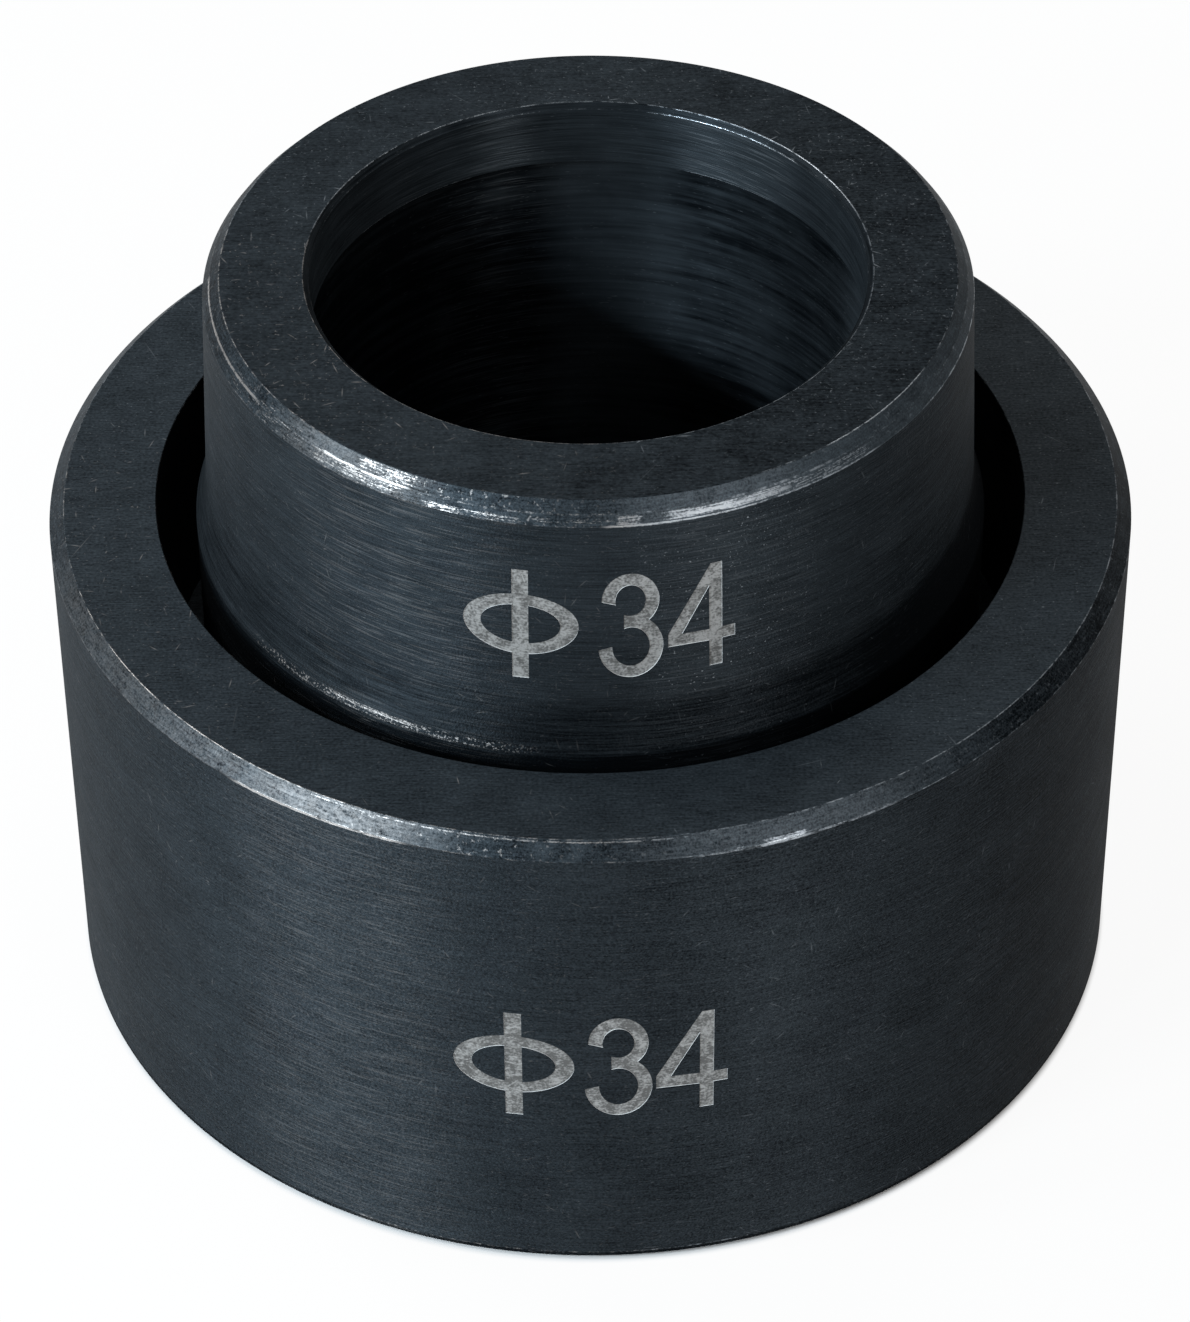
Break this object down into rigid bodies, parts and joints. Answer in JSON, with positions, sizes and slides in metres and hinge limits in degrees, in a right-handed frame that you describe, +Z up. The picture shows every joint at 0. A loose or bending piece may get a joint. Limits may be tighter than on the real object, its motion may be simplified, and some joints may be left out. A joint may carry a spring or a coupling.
{
  "type": "punch die",
  "caption": "Round punch die: a stepped die ring with a through bore stands proud in the bore of a wider, chamfered holder ring.",
  "frame": {"origin": "centre of the holder ring's base face", "axes": "+Z up the common axis of both rings, towards the die ring's face; the size marks face -Y"},
  "size_m": [0.068, 0.068, 0.0519],
  "materials": {
    "die_ring_steel": "turned tool steel, black oxide, worn bright along its edges, size mark etched light grey",
    "holder_ring_steel": "turned tool steel, black oxide, worn bright along its chamfer, size mark etched light grey"
  },
  "bodies": {
    "root": {"die_ring": "die_ring_steel", "holder_ring": "holder_ring_steel"}
  },
  "joints": []
}
